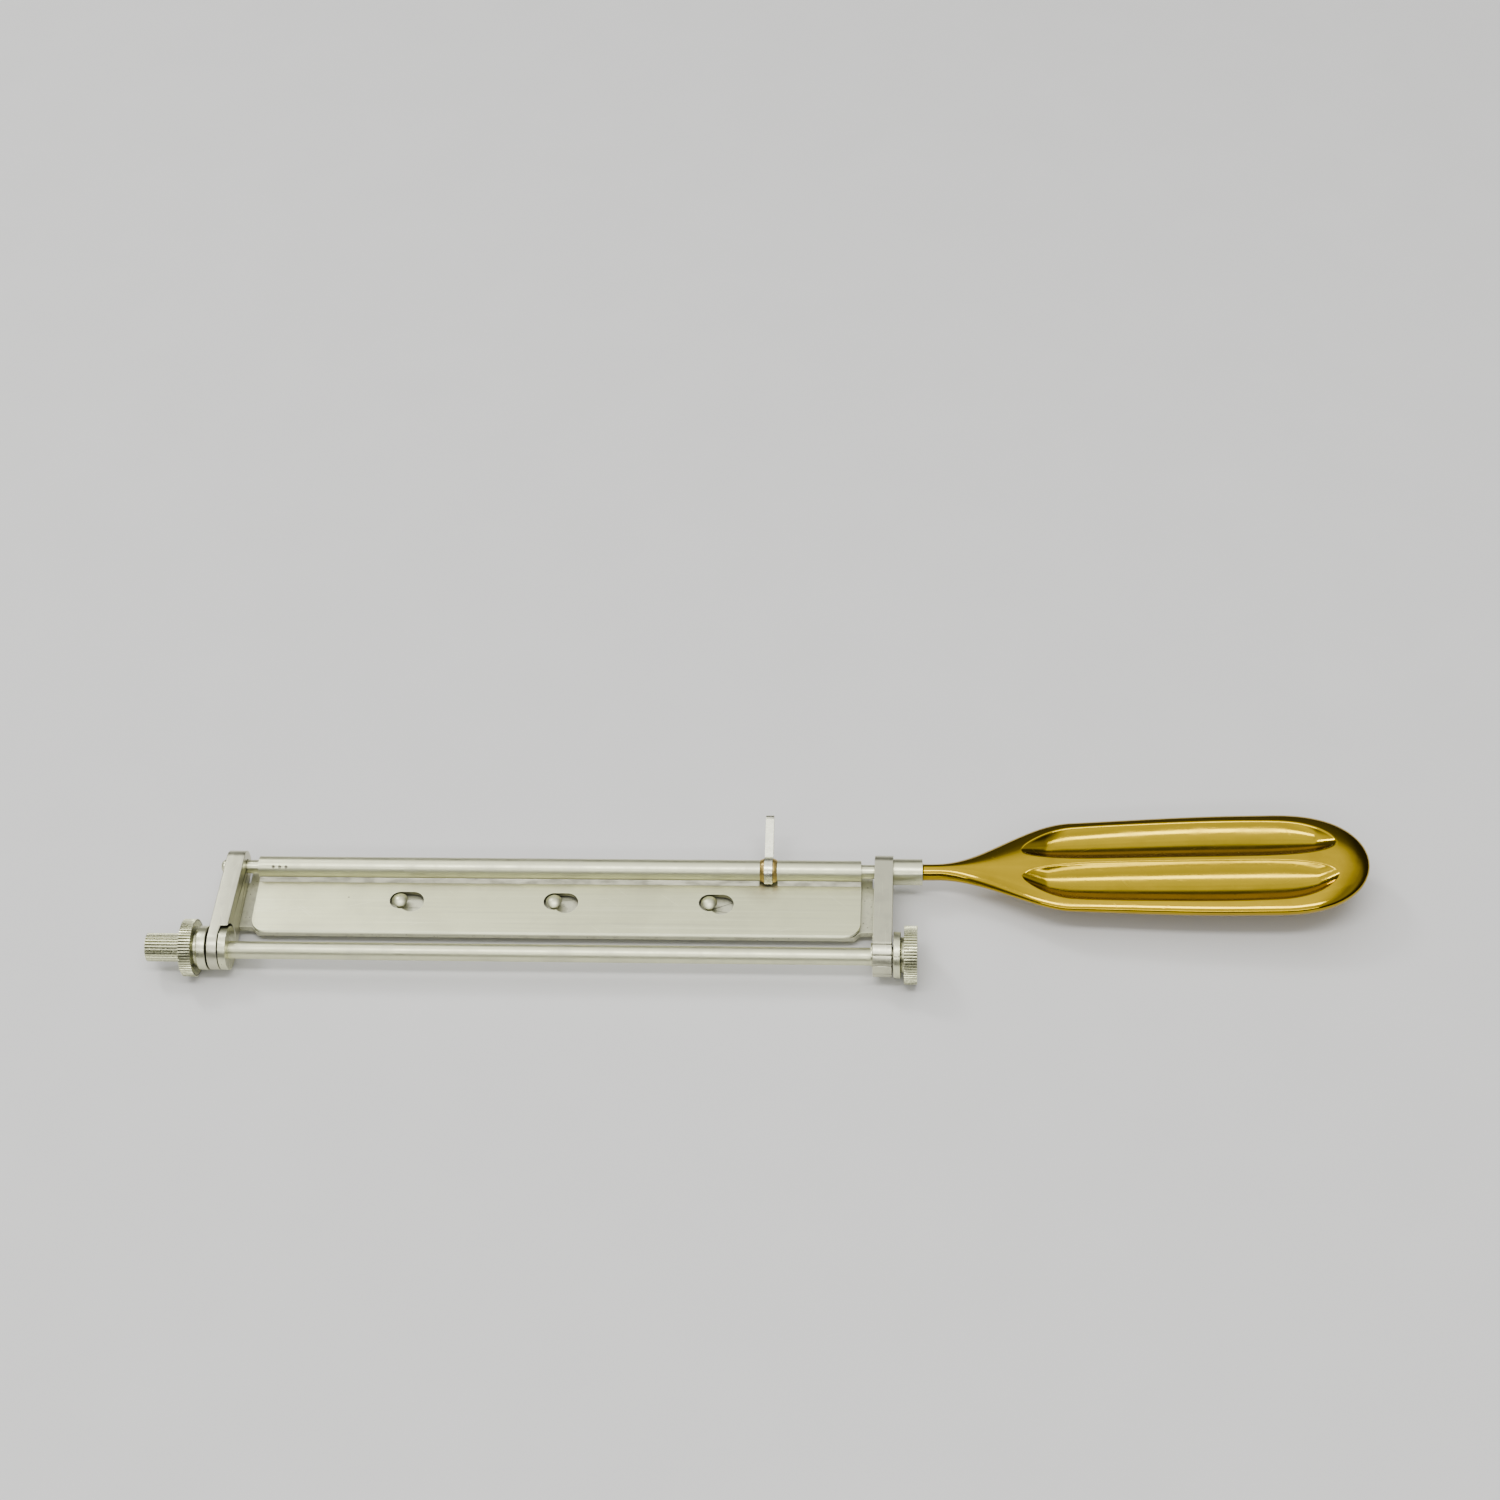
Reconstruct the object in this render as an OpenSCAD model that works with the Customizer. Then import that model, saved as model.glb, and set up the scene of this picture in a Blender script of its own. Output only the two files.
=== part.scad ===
// Roller knife for taking thin skin grafts.
// A steel frame holds a flat blade carrier, a cover plate that swings on a long rod, a guard roller
// on eccentric spindles, and a fluted brass handle.
// X runs along the knife towards the handle, Y from the guard roller to the hinge rod, Z up.
// The origin is the middle of the carrier's flat underside. All sizes are in millimetres.

/* [Frame] */

// Clear width between the two arms
frame_gap = 165; // [120:1:200]
// Thickness of each arm along the knife
arm_t = 4.8; // [4:0.1:7]
// Radius of the arm's end around the hinge rod
rod_eye_r = 4.2; // [3.6:0.1:5]
// Radius of the arm's end around the roller spindle
roller_eye_r = 5.6; // [5.2:0.1:7]
// Distance from the hinge rod back to front to the roller spindle
eye_spacing = 26.5; // [25:0.1:32]
// Thickness left in the left arm behind the spindle flange
eye_web = 2.7; // [2:0.1:3.5]
// Width of one engraved setting line
scale_line_w = 0.25; // [0.15:0.05:0.4]
// Depth of one engraved setting line
scale_line_depth = 0.2; // [0.1:0.05:0.4]
// Number of setting lines on the right arm
scale_lines = 5; // [3:1:7]
// Angle between two setting lines
scale_step = 30; // [15:1:30]

/* [Blade carrier] */

// Thickness of the carrier plate
carrier_t = 1.6; // [1.2:0.1:2.5]
// Distance of the carrier's front edge from the hinge rod
carrier_front = 18.8; // [17:0.1:19]
// Distance that the carrier runs on behind the hinge rod
carrier_back = 0.6; // [0.2:0.1:1.5]
// Depth of the step in the front edge beside each arm
corner_step = 1.6; // [0.8:0.1:2.5]
// Length of the step beside each arm
corner_len = 3.4; // [2:0.1:6]
// Width of the relief slit beside each arm
slit_w = 0.65; // [0.3:0.05:1.2]
// Length of the relief slit in front of the hinge rod
slit_len = 2.8; // [1:0.1:5]
// Room for a blade between carrier and cover
blade_gap = 0.6; // [0.4:0.1:1.2]

/* [Blade studs] */

// Distance between neighbouring studs
stud_pitch = 40.4; // [30:0.1:45]
// Shift of the middle stud from the frame's middle
stud_shift = -0.5; // [-3:0.1:3]
// Distance of the studs in front of the hinge rod
stud_front = 9.3; // [8:0.1:12]
// Diameter of a stud's neck
stud_neck_d = 2.4; // [1.6:0.1:2.8]
// Diameter of a stud's domed head
stud_head_d = 4.2; // [3.4:0.1:4.3]
// Height of the dome
stud_dome = 0.95; // [0.6:0.05:1.2]

/* [Cover] */

// Open space between each end of the cover and its arm
cover_gap = 3.5; // [3.3:0.1:8]
// Thickness of the cover plate
cover_t = 1.2; // [1:0.1:1.6]
// Distance of the cover's front edge from the hinge rod
cover_front = 19.5; // [18:0.1:20]
// Radius of the cover's two front corners
cover_corner_r = 4.2; // [2:0.1:7]
// Crown radius of the cover's top face
crown_r = 150; // [120:5:400]
// Width of the bevel along the front edge
bevel_w = 0.8; // [0.3:0.1:1.5]
// Height of the bevel along the front edge
bevel_h = 0.45; // [0.2:0.05:0.6]
// Diameter of the slot's end that stands around the stud
slot_near_d = 5.4; // [5:0.1:5.6]
// Diameter of the slot's far end
slot_far_d = 6.4; // [5.7:0.1:6.8]
// Width of the slot between its two round ends
slot_w = 4.7; // [4.6:0.1:4.8]
// Sideways travel of the cover
cover_travel = 3.2; // [2:0.1:3.2]

/* [Hinge rod and tube] */

// Diameter of the hinge rod
rod_d = 3.6; // [2.8:0.1:4]
// Radial clearance of the rod in its bores
rod_fit = 0.05; // [0.03:0.01:0.1]
// Length of the rod that stands out of the left arm
rod_stub = 2; // [1:0.1:4]
// Depth of the rod in the ferrule
rod_in_ferrule = 3.6; // [3.4:0.1:3.8]
// Outside diameter of the hinge tube
tube_d = 5.6; // [5.4:0.1:6]
// Diameter of one stake mark
stake_d = 0.6; // [0.4:0.1:0.8]
// Distance between stake marks
stake_pitch = 1.7; // [1.2:0.1:2.5]
// Distance of the first stake mark from the tube's end
stake_end = 4; // [3:0.1:8]

/* [Lever] */

// Thickness of the lever strip
lever_t = 2.1; // [1.5:0.1:3]
// Width of the lever strip
lever_w = 3.2; // [2.4:0.1:4]
// Distance from the hinge rod to the lever's tip
lever_reach = 15.2; // [10:0.1:20]
// Distance of the lever from the cover's right end
lever_inset = 24; // [12:1:50]
// Tilt of the lever above the carrier's plane
lever_tilt = 20; // [10:1:40]
// Wall of the lever's foot around the tube
lever_foot = 0.9; // [0.6:0.1:1.2]
// Width of the braze beside the lever
braze_w = 1.3; // [0.6:0.1:2]
// Height of the braze on the tube
braze_h = 0.55; // [0.3:0.05:0.7]

/* [Guard roller] */

// Diameter of the guard roller
roller_d = 4.5; // [3.5:0.1:5]
// Offset of the roller from its spindle axis
roller_throw = 0.6; // [0.2:0.1:0.9]
// Diameter of the spindle in the arms
journal_d = 5.1; // [4.4:0.1:6]
// Radial clearance of the spindle in the arms
journal_fit = 0.05; // [0.03:0.01:0.1]
// Diameter of the spindle outside the arms
stem_d = 4.2; // [3.6:0.1:4.4]
// Radial clearance of collars and nuts on the spindle
stem_fit = 0.04; // [0.03:0.01:0.1]
// Diameter of the left spindle's flange
flange_d = 11.2; // [9:0.1:11.4]
// Clearance around the flange in the left arm
flange_gap = 0.7; // [0.3:0.1:1]
// Open gap between the flange and the left arm's web
flange_play = 0.3; // [0.1:0.05:0.5]
// Thickness of the thin shoulder at the right end of the roller
shoulder_t = 0.4; // [0.3:0.05:0.8]
// Diameter of the thin shoulder
shoulder_d = 6; // [5.9:0.1:7]
// Axial clearance of the turning pieces
end_play = 0.05; // [0.03:0.01:0.1]

/* [Collars, nuts and knob] */

// Diameter of the left thrust collar
left_collar_d = 11.3; // [9:0.1:13]
// Thickness of the left thrust collar
left_collar_t = 2.4; // [1.5:0.1:4]
// Diameter of the right thrust collar
right_collar_d = 11.7; // [9:0.1:13]
// Thickness of the right thrust collar
right_collar_t = 1.8; // [1.5:0.1:4]
// Open gap between a collar and its arm
collar_gap = 0.4; // [0.37:0.01:0.6]
// Diameter of the knurled lock nuts
nut_d = 14.8; // [12:0.1:18]
// Thickness of the left lock nut's rim
left_nut_t = 3.2; // [2.5:0.1:5]
// Thickness of the right lock nut's rim
right_nut_t = 3.3; // [2.5:0.1:5]
// Diameter of the nut's boss against the collar
nut_boss_d = 9; // [6:0.1:10]
// Length of the nut's boss
nut_boss_t = 0.85; // [0.3:0.05:1]
// Number of ridges around a lock nut
nut_ridges = 60; // [40:1:80]
// Diameter of the control knob
knob_d = 7.3; // [6:0.1:9]
// Length of the control knob
knob_len = 9.6; // [6:0.1:14]
// Number of ridges around the control knob
knob_ridges = 28; // [18:1:36]
// Depth of the ridges
ridge_depth = 0.32; // [0.15:0.01:0.5]
// Diameter of the spindle's end inside the knob
tip_d = 3; // [2.4:0.1:3.4]

/* [Ferrule] */

// Diameter of the ferrule
ferrule_d = 6.8; // [5.8:0.1:8]
// Length of the ferrule
ferrule_len = 7.5; // [7:0.1:10]
// Depth of the handle's spigot in the ferrule
spigot_len = 2.6; // [1.5:0.1:2.8]
// Diameter of the handle's spigot
spigot_d = 3.6; // [3:0.1:3.8]

/* [Handle] */

// Length of the handle outside the ferrule
handle_len = 113.4; // [105:0.1:130]
// Diameter of the handle's neck at the ferrule
neck_d = 4.3; // [4:0.1:5]
// Greatest width of the handle
handle_w = 31.5; // [27:0.1:34]
// Height of the handle's face above its widest line
face_t = 2.8; // [2.3:0.1:5]
// Depth of the handle's underside below its widest line
belly_t = 5.5; // [4.5:0.1:7]
// Height that the bent neck lifts the handle
neck_rise = 2; // [0:0.1:6]
// Slope of the handle beyond its neck, in degrees
handle_lift = 2; // [0:0.5:5]
// Distance from the ferrule to the start of the flutes
flute_start = 25.4; // [22:0.1:32]
// Distance from the handle's end to the end of the flutes
flute_end = 8.4; // [7:0.1:14]
// Depth of the two flutes in the face
flute_depth = 3.1; // [1.5:0.1:3.4]
// Depth of the two flutes in the underside
belly_flute = 1.2; // [0.6:0.1:1.8]
// Width of the rib between the flutes
rib_w = 1.2; // [0.8:0.1:4]
// Width of the rim outside a flute, where the flute starts
rim_w = 2.4; // [1.6:0.1:3.5]
// Width of the same rim near the tail
rim_end_w = 3; // [1.6:0.1:4]
// Length of the rounded tail
tail_len = 24; // [18:1:30]
// Stations between the ends of the flutes
handle_steps = 16; // [10:1:24]
// Points across one flute
flute_steps = 8; // [5:1:9]

/* [Hidden] */

$fn = 96;
cut = 1;

steel = [0.72, 0.74, 0.68];
dark_steel = [0.6, 0.62, 0.58];
brass = [0.85, 0.72, 0.32];
braze_gold = [0.75, 0.62, 0.25];

rod_r = rod_d / 2;
tube_r = tube_d / 2;
journal_r = journal_d / 2;
stem_r = stem_d / 2;
inner_face = frame_gap / 2;
outer_face = inner_face + arm_t;
cover_len = frame_gap - 2 * cover_gap;
half_cover = cover_len / 2;
lever_x = half_cover - lever_inset;

// Heights below the hinge rod's axis
cover_bottom = tube_r;
cover_top = cover_bottom - cover_t;
carrier_top = cover_bottom + blade_gap;
carrier_bottom = carrier_top + carrier_t;

// Where the hinge rod's axis stands above and behind the origin
pivot_y = (carrier_front - carrier_back) / 2;
pivot_z = carrier_bottom;

// The camera side of the knife, where the scale and the stake marks are read
reading_angle = 127;

left_collar_in = outer_face + collar_gap;
left_nut_in = left_collar_in + left_collar_t + end_play;
left_rim_in = left_nut_in + nut_boss_t;
left_rim_out = left_rim_in + left_nut_t;
knob_in = left_rim_out + 2 * end_play;
knob_out = knob_in + knob_len;
right_collar_in = outer_face + collar_gap;
right_nut_in = right_collar_in + right_collar_t + end_play;
right_rim_in = right_nut_in + nut_boss_t;
right_rim_out = right_rim_in + right_nut_t;
ferrule_end = outer_face + ferrule_len;

// Everything is drawn around the hinge rod and then moved to the origin
module placed()
  translate([0, pivot_y, pivot_z])
    children();

// A profile drawn in the plane across the knife, with its first coordinate along Y and its second
// along Z, drawn out along X from x0 to x1
module across(x0, x1)
  translate([x0, 0, 0])
    rotate([90, 0, 90])
      linear_extrude(height = x1 - x0)
        children();

// A round bar along X from x0 to x1 around the hinge rod's axis
module bar(x0, x1, r)
  translate([x0, 0, 0])
    rotate([0, 90, 0])
      cylinder(h = x1 - x0, r = r);

// Moves a child from the hinge rod's axis to the roller spindle's axis
module at_journal()
  translate([0, -eye_spacing, 0])
    children();

// A turned profile along X: the first coordinate is the distance along X, the second the radius
module turned_along_x()
  rotate([0, 90, 0])
    rotate_extrude()
      mirror([0, 1, 0])
        rotate(-90)
          children();

// The straight sides of an arm, tangent to its two round ends
module arm_flanks() {
  lean = acos((rod_eye_r - roller_eye_r) / eye_spacing);
  polygon([
    [-rod_eye_r * cos(lean), rod_eye_r * sin(lean)],
    [-rod_eye_r * cos(lean), -rod_eye_r * sin(lean)],
    [-eye_spacing - roller_eye_r * cos(lean), -roller_eye_r * sin(lean)],
    [-eye_spacing - roller_eye_r * cos(lean), roller_eye_r * sin(lean)]
  ]);
}

// The blank shared by both arms, with the bores for the hinge rod and the spindle
module arm_blank(x0, x1)
  difference() {
    union() {
      bar(x0, x1, rod_eye_r);
      at_journal()
        bar(x0, x1, roller_eye_r);
      across(x0, x1)
        arm_flanks();
    }
    bar(x0 - cut, x1 + cut, rod_r + rod_fit);
    at_journal()
      bar(x0 - cut, x1 + cut, journal_r + journal_fit);
  }

// One straight ridged outline, cut as flat ridges with narrow grooves
module ridged_circle(d, ridges) {
  step = 360 / ridges;
  outer = d / 2;
  inner = outer - ridge_depth;
  polygon([
    for (i = [0 : ridges - 1])
      for (corner = [[0.08, inner], [0.32, outer], [0.78, outer], [1.0, inner]])
        corner[1] * [cos((i + corner[0]) * step), sin((i + corner[0]) * step)]
  ]);
}

module left_arm() {
  color(steel)
    placed()
      difference() {
        arm_blank(-outer_face, -inner_face);
        at_journal()
          bar(-outer_face + eye_web, -inner_face + cut, flange_d / 2 + flange_gap);
      }
}

module right_arm() {
  first = reading_angle - scale_step;
  color(steel)
    placed()
      difference() {
        arm_blank(inner_face, outer_face);
        at_journal()
          for (i = [0 : scale_lines - 1])
            rotate([first + i * scale_step, 0, 0])
              translate([inner_face - cut, roller_eye_r - scale_line_depth, -scale_line_w / 2])
                cube([arm_t + 2 * cut, 2 * scale_line_depth, scale_line_w]);
      }
}

// The right half of the carrier's outline seen from above, from the back to the front
half_carrier = [
  [inner_face - slit_w, carrier_back],
  [inner_face - slit_w, -slit_len],
  [inner_face, -slit_len],
  [inner_face, -carrier_front + corner_step],
  [inner_face - corner_len, -carrier_front + corner_step],
  [inner_face - corner_len - corner_step, -carrier_front]
];

// The notch in the carrier's back edge lets the lever swing down
module blade_carrier() {
  notch_front = tube_r - 0.4;
  notch_side = lever_t / 2 + braze_w + 1;
  color(steel)
    placed()
      difference() {
        translate([0, 0, -carrier_bottom])
          linear_extrude(height = carrier_t)
            difference() {
              polygon(concat(half_carrier, mirrored(half_carrier)));
              translate([lever_x - notch_side - cover_travel, -notch_front])
                square([2 * notch_side + cover_travel, notch_front + carrier_back + cut]);
            }
        each_stud()
          translate([0, 0, -carrier_bottom - cut])
            cylinder(h = carrier_t + 2 * cut, d = stud_neck_d);
      }
}

module each_stud()
  for (i = [-1 : 1])
    translate([stud_shift + i * stud_pitch, -stud_front, 0])
      children();

// The head's underside stands just above the top of the cover
module blade_studs() {
  head_base = cover_top - 0.05;
  dome_r = (pow(stud_head_d / 2, 2) + pow(stud_dome, 2)) / (2 * stud_dome);
  color(steel)
    placed()
      each_stud()
        union() {
          translate([0, 0, -carrier_bottom])
            cylinder(h = carrier_bottom - head_base, d = stud_neck_d);
          translate([0, 0, -head_base])
            intersection() {
              cylinder(h = 2 * stud_dome, d = stud_head_d);
              translate([0, 0, stud_dome - dome_r])
                sphere(r = dome_r);
            }
        }
}

module ferrule() {
  color(steel)
    placed()
      difference() {
        bar(outer_face, ferrule_end, ferrule_d / 2);
        bar(outer_face - cut, outer_face + rod_in_ferrule + 0.2, rod_r + rod_fit);
        bar(ferrule_end - spigot_len, ferrule_end + cut, spigot_d / 2);
      }
}

// The same outline on the other side of the middle, in the order that closes it
function mirrored(points) = [for (i = [len(points) - 1 : -1 : 0]) [-points[i][0], points[i][1]]];

// Slow start and slow end between 0 and 1
function eased(u) = let (v = min(1, max(0, u))) v * v * (3 - 2 * v);

// The handle's sizes at a distance s from the ferrule grow by slow swells from neck to grip
function swell(s, from, to) = eased((s - from) / (to - from));
widen_from = 3.3;
widen_to = 38.3;
thicken_from = 6;
thicken_to = 59;
lift_to = 32.6;
full_at = 0.72 * handle_len;
tail_from = handle_len - tail_len;
function tail(s) = s < tail_from ? 0 : (s - tail_from) / tail_len;
function half_width(s) =
  s < 0 ? spigot_d / 2 :
  (neck_d + (handle_w - neck_d)
    * (0.85 * swell(s, widen_from, widen_to) + 0.15 * swell(s, 20, full_at))) / 2
    * sqrt(1 - pow(tail(s), 2.4));
function thickness(s, grown_t) =
  s < 0 ? spigot_d / 2 :
  (neck_d / 2 + (grown_t - neck_d / 2)
    * (0.6 * swell(s, thicken_from, thicken_to) + 0.4 * swell(s, 20, full_at)))
    * sqrt(1 - pow(tail(s), 4.5));

// Height of the handle's middle line: the neck bends up and the handle goes on at a gentle slope
function middle(s) =
  neck_rise * swell(s, 0, lift_to) + tan(handle_lift) * max(0, s - 9) * swell(s, 5, 20);

// 0 at both ends of the flutes and 1 between them, with round ends
flute_round = 6;
flute_mid = (flute_start + handle_len - flute_end) / 2;
flute_half = (handle_len - flute_end - flute_start) / 2;
function flute_plan(s) =
  let (u = abs(s - flute_mid) / flute_half) u >= 1 ? 0 : pow(1 - pow(u, flute_round), 0.5);

// Height of the smooth face, or depth of the smooth underside, at a distance y from the middle.
// A section is half an ellipse above and a fuller curve below its widest line.
function face_height(s, y) =
  thickness(s, face_t) * sqrt(1 - pow(min(1, abs(y) / half_width(s)), 2));
function belly_depth(s, y) =
  let (n = 2 + 0.3 * swell(s, 10, 42), u = min(1, abs(y) / half_width(s)))
  thickness(s, belly_t) * pow(1 - pow(u, n), 1 / n);

// The two edges of a flute, which close up to its own middle at both ends
function flute_inner(s) = min(rib_w / 2, 0.4 * half_width(s));
function rim(s) = rim_w + (rim_end_w - rim_w) * swell(s, 0.27 * handle_len, 0.88 * handle_len);
function flute_outer(s) = max(half_width(s) - rim(s), 0.7 * half_width(s));
function flute_centre(s) = (flute_inner(s) + flute_outer(s)) / 2;
function flute_edge(s, full) = flute_centre(s) + (full - flute_centre(s)) * max(0.1, flute_plan(s));

// Points over half a ring: a distance y from the middle, the height and the depth there
side_angles = [0, 12, 26, 42, 60];
function half_ring(s) =
  let (
    w = half_width(s),
    outer = flute_edge(s, flute_outer(s)),
    inner = flute_edge(s, flute_inner(s)),
    start = acos(min(1, outer / w)),
    share = flute_plan(s) * min(1, (outer - inner) / 8)
  )
  concat(
    [for (a = side_angles)
      let (y = w * cos(a * start / 75))
      [y, face_height(s, y), belly_depth(s, y)]],
    [for (i = [0 : flute_steps])
      let (
        k = i / flute_steps,
        y = outer + (inner - outer) * k,
        scoop = 4 * k * (1 - k) * share
      )
      [y, face_height(s, y) - flute_depth * scoop, belly_depth(s, y) - belly_flute * scoop]]
  );
function whole_ring(half) =
  let (last = len(half) - 1) concat(half, [for (i = [last : -1 : 0]) [-half[i][0], half[i][1], half[i][2]]]);
function over(points) = [for (p = points) [p[0], p[1]]];
function under(points) = [for (i = [len(points) - 2 : -1 : 1]) [points[i][0], -points[i][2]]];
function ring(s) = let (points = whole_ring(half_ring(s))) concat(over(points), under(points));

// The stations lie close together where the flutes begin and end, and towards the tip
near_steps = [0, 0.3, 0.8, 1.6, 2.8, 4.5, 7];
flute_stop = handle_len - flute_end;
last_near = near_steps[len(near_steps) - 1];
middle_len = flute_stop - flute_start - 2 * last_near;
handle_stations = concat(
  [-spigot_len + 0.1, -0.001],
  [for (i = [0 : 11]) (flute_start - 1) * i / 11],
  [for (d = near_steps) flute_start + d],
  [for (i = [1 : handle_steps - 1]) flute_start + last_near + middle_len * i / handle_steps],
  [for (i = [len(near_steps) - 1 : -1 : 0]) flute_stop - near_steps[i]],
  [for (a = [8 : 8 : 80]) flute_stop + flute_end * sin(a)]
);

// A skin over the rings, closed by a flat face at each end
module handle() {
  rings = [for (s = handle_stations) [for (p = ring(s)) [s, p[0], p[1] + middle(s)]]];
  count = len(rings[0]);
  last = len(rings) - 1;
  points = [for (r = rings) each r];
  walls = [
    for (j = [0 : last - 1])
      for (i = [0 : count - 1])
        let (a = j * count + i, b = j * count + (i + 1) % count)
        each [[a, b, b + count], [a, b + count, a + count]]
  ];
  first_cap = [for (i = [count - 1 : -1 : 0]) i];
  last_cap = [for (i = [0 : count - 1]) last * count + i];
  color(brass)
    placed()
      translate([ferrule_end, 0, 0])
        polyhedron(points = points, faces = concat(walls, [first_cap, last_cap]), convexity = 6);
}

// Middle of the three stake marks, which is also the middle of the groove in the rod
stake_x = -half_cover + stake_end + stake_pitch;

module each_stake()
  for (i = [-1 : 1])
    translate([stake_x + i * stake_pitch, 0, 0])
      rotate([reading_angle - 90, 0, 0])
        children();

// The stakes press three nubs into the rod's groove, so tube and rod slide as one
nub_r = rod_r - 0.14;
groove_r = rod_r - 0.3;
groove_half = stake_pitch + stake_d;
module pivot_rod() {
  rod_left = -outer_face - rod_stub;
  rod_right = outer_face + rod_in_ferrule;
  color(steel)
    placed()
      difference() {
        turned_along_x()
          polygon([
            [rod_left, 0],
            [rod_left, rod_r - 0.9],
            [rod_left + 0.25, rod_r - 0.4],
            [rod_left + 0.8, rod_r],
            [stake_x - groove_half, rod_r],
            [stake_x - groove_half, groove_r],
            [stake_x + groove_half, groove_r],
            [stake_x + groove_half, rod_r],
            [rod_right - 0.4, rod_r],
            [rod_right, rod_r - 0.4],
            [rod_right, 0]
          ]);
      }
}

module hinge_tube() {
  wall = tube_r - rod_r - rod_fit;
  color(steel)
    placed() {
      difference() {
        bar(-half_cover, half_cover, tube_r);
        bar(-half_cover - cut, half_cover + cut, rod_r + rod_fit);
        each_stake()
          translate([0, 0, tube_r - 0.3])
            cylinder(h = cut, d = stake_d, $fn = 24);
      }
      each_stake()
        translate([0, 0, nub_r])
          cylinder(h = wall / 2 + rod_r - nub_r, d = stake_d, $fn = 24);
    }
}

// Where the crowned top of the cover is highest
crown_middle = -8;

// The cover's section: crowned on top, bevelled at the front, its back edge fitted to the tube
module cover_section() {
  back_lap = 1.2;
  difference() {
    intersection() {
      polygon([
        [-back_lap, -cover_bottom],
        [-cover_front, -cover_bottom],
        [-cover_front, -cover_top - 0.35 - bevel_h],
        [-cover_front + bevel_w, -cover_top],
        [-back_lap, -cover_top]
      ]);
      translate([crown_middle, -cover_top - crown_r])
        circle(r = crown_r, $fn = 720);
    }
    circle(r = tube_r);
  }
}

// The cover's outline from above: square at the back, two round corners at the front
module cover_outline() {
  r = cover_corner_r;
  translate([-half_cover, -cover_front + r])
    square([cover_len, cover_front - r]);
  translate([-half_cover + r, -cover_front])
    square([cover_len - 2 * r, cover_front]);
  for (side = [-1, 1])
    translate([side * (half_cover - r), -cover_front + r])
      circle(r = r);
}

// The slot's two round ends share one straight back edge
slot_back = slot_near_d / 2;
module cover_plate() {
  color(steel)
    placed()
      difference() {
        intersection() {
          across(-half_cover, half_cover)
            cover_section();
          translate([0, 0, -cover_bottom - cut])
            linear_extrude(height = cover_t + 2 * cut)
              cover_outline();
        }
        each_stud()
          translate([0, 0, -cover_bottom - cut])
            linear_extrude(height = cover_t + 2 * cut) {
              circle(d = slot_near_d);
              translate([cover_travel, slot_back - slot_far_d / 2])
                circle(d = slot_far_d);
              translate([0, -slot_w / 2])
                square([cover_travel, slot_w / 2 + slot_back]);
            }
      }
}

// The brazed seam where the cover meets the tube, left open at the lever's foot
lever_room = lever_t / 2 + braze_w;
seam_w = 0.9;
seam_top = -0.75;
function crown_drop(y) = crown_r - sqrt(pow(crown_r, 2) - pow(y - crown_middle, 2));
module seam_piece(x0, x1)
  difference() {
    across(x0, x1)
      polygon([
        [-tube_r + 0.6, -cover_top - crown_drop(-tube_r + 0.6)],
        [-tube_r - seam_w, -cover_top - crown_drop(-tube_r - seam_w)],
        [-tube_r + 0.04, seam_top],
        [-tube_r + 0.6, seam_top]
      ]);
    bar(x0 - cut, x1 + cut, tube_r);
  }

module cover_seam()
  color(dark_steel)
    placed() {
      seam_piece(-half_cover, lever_x - lever_room);
      seam_piece(lever_x + lever_room, half_cover);
    }

// The lever strip: a straight tongue on a foot that saddles the tube
lever_front_z = -1.1;
module lever_section() {
  foot_r = tube_r + lever_foot;
  half = lever_w / 2;
  difference() {
    union() {
      intersection() {
        circle(r = foot_r);
        translate([-2 * foot_r, lever_front_z])
          square([4 * foot_r, 2 * foot_r]);
      }
      rotate(lever_tilt) {
        translate([0, -half])
          square([lever_reach - half, lever_w]);
        translate([lever_reach - half, 0])
          circle(r = half);
      }
    }
    circle(r = tube_r);
    translate([-foot_r, -2 * foot_r])
      square([foot_r, 2 * foot_r + lever_front_z]);
  }
}

module lever()
  color(steel)
    placed()
      across(lever_x - lever_t / 2, lever_x + lever_t / 2)
        lever_section();

// A sloping fillet of braze on both sides of the lever's foot
module lever_braze() {
  from_angle = -8;
  to_angle = 201;
  color(braze_gold)
    placed()
      translate([lever_x, 0, 0])
        for (side = [0, 1])
          mirror([side, 0, 0])
            rotate([from_angle, 0, 0])
              rotate([0, 90, 0])
                rotate([0, 0, 90])
                  rotate_extrude(angle = to_angle - from_angle)
                    polygon([
                      [tube_r, lever_t / 2],
                      [tube_r + braze_h, lever_t / 2],
                      [tube_r, lever_t / 2 + braze_w]
                    ]);
}

// The roller hangs off-centre on its spindles, at its widest setting towards the front
module at_roller()
  translate([0, -eye_spacing - roller_throw, 0])
    children();

roller_left = -inner_face + end_play;
roller_right = inner_face - end_play - shoulder_t;
module guard_roller()
  color(steel)
    placed()
      at_roller()
        bar(roller_left, roller_right, roller_d / 2);

module left_spindle()
  color(steel)
    placed()
      at_journal()
        union() {
          bar(-outer_face + eye_web + flange_play, -inner_face + end_play, flange_d / 2);
          bar(-outer_face + end_play, -inner_face, journal_r);
          bar(-left_rim_out - end_play, -inner_face, stem_r);
          bar(-knob_in - knob_len * 0.7, -inner_face, tip_d / 2);
        }

module right_spindle()
  color(steel)
    placed()
      at_journal()
        union() {
          bar(inner_face - shoulder_t - end_play, inner_face - end_play, shoulder_d / 2);
          bar(inner_face - shoulder_t, outer_face - end_play, journal_r);
          bar(inner_face, right_rim_out - 0.35, stem_r);
        }

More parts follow.
